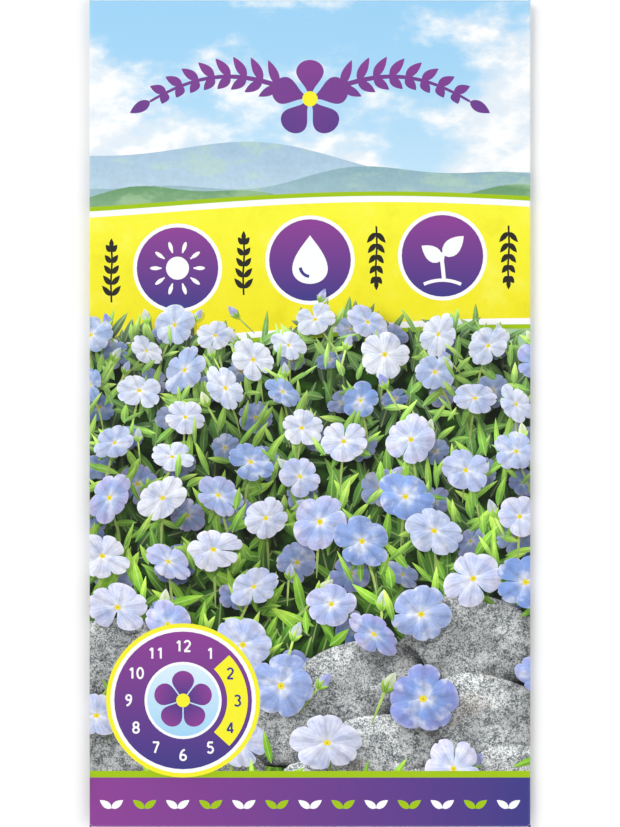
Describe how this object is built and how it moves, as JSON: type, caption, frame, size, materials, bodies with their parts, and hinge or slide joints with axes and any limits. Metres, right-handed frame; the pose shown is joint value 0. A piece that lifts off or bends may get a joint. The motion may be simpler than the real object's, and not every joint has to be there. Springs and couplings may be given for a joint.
{
  "type": "seed packet",
  "caption": "Flat folded and glued paper seed packet with a plain flower-bed print, closed, lying on its back with an inner sachet of seed.",
  "frame": {"origin": "under the packet's middle, on the surface that it lies on", "axes": "+X across the packet's width to the right of the print, +Y up the print, +Z out of the printed front"},
  "size_m": [0.08, 0.15, 0.0033],
  "materials": {
    "printed_paper": "satin",
    "glassine": "satin",
    "seed": "matte"
  },
  "bodies": {
    "root": {"envelope": "printed_paper", "sachet_lower_web": "glassine", "sachet_upper_web": "glassine", "seeds": "seed"}
  },
  "joints": []
}
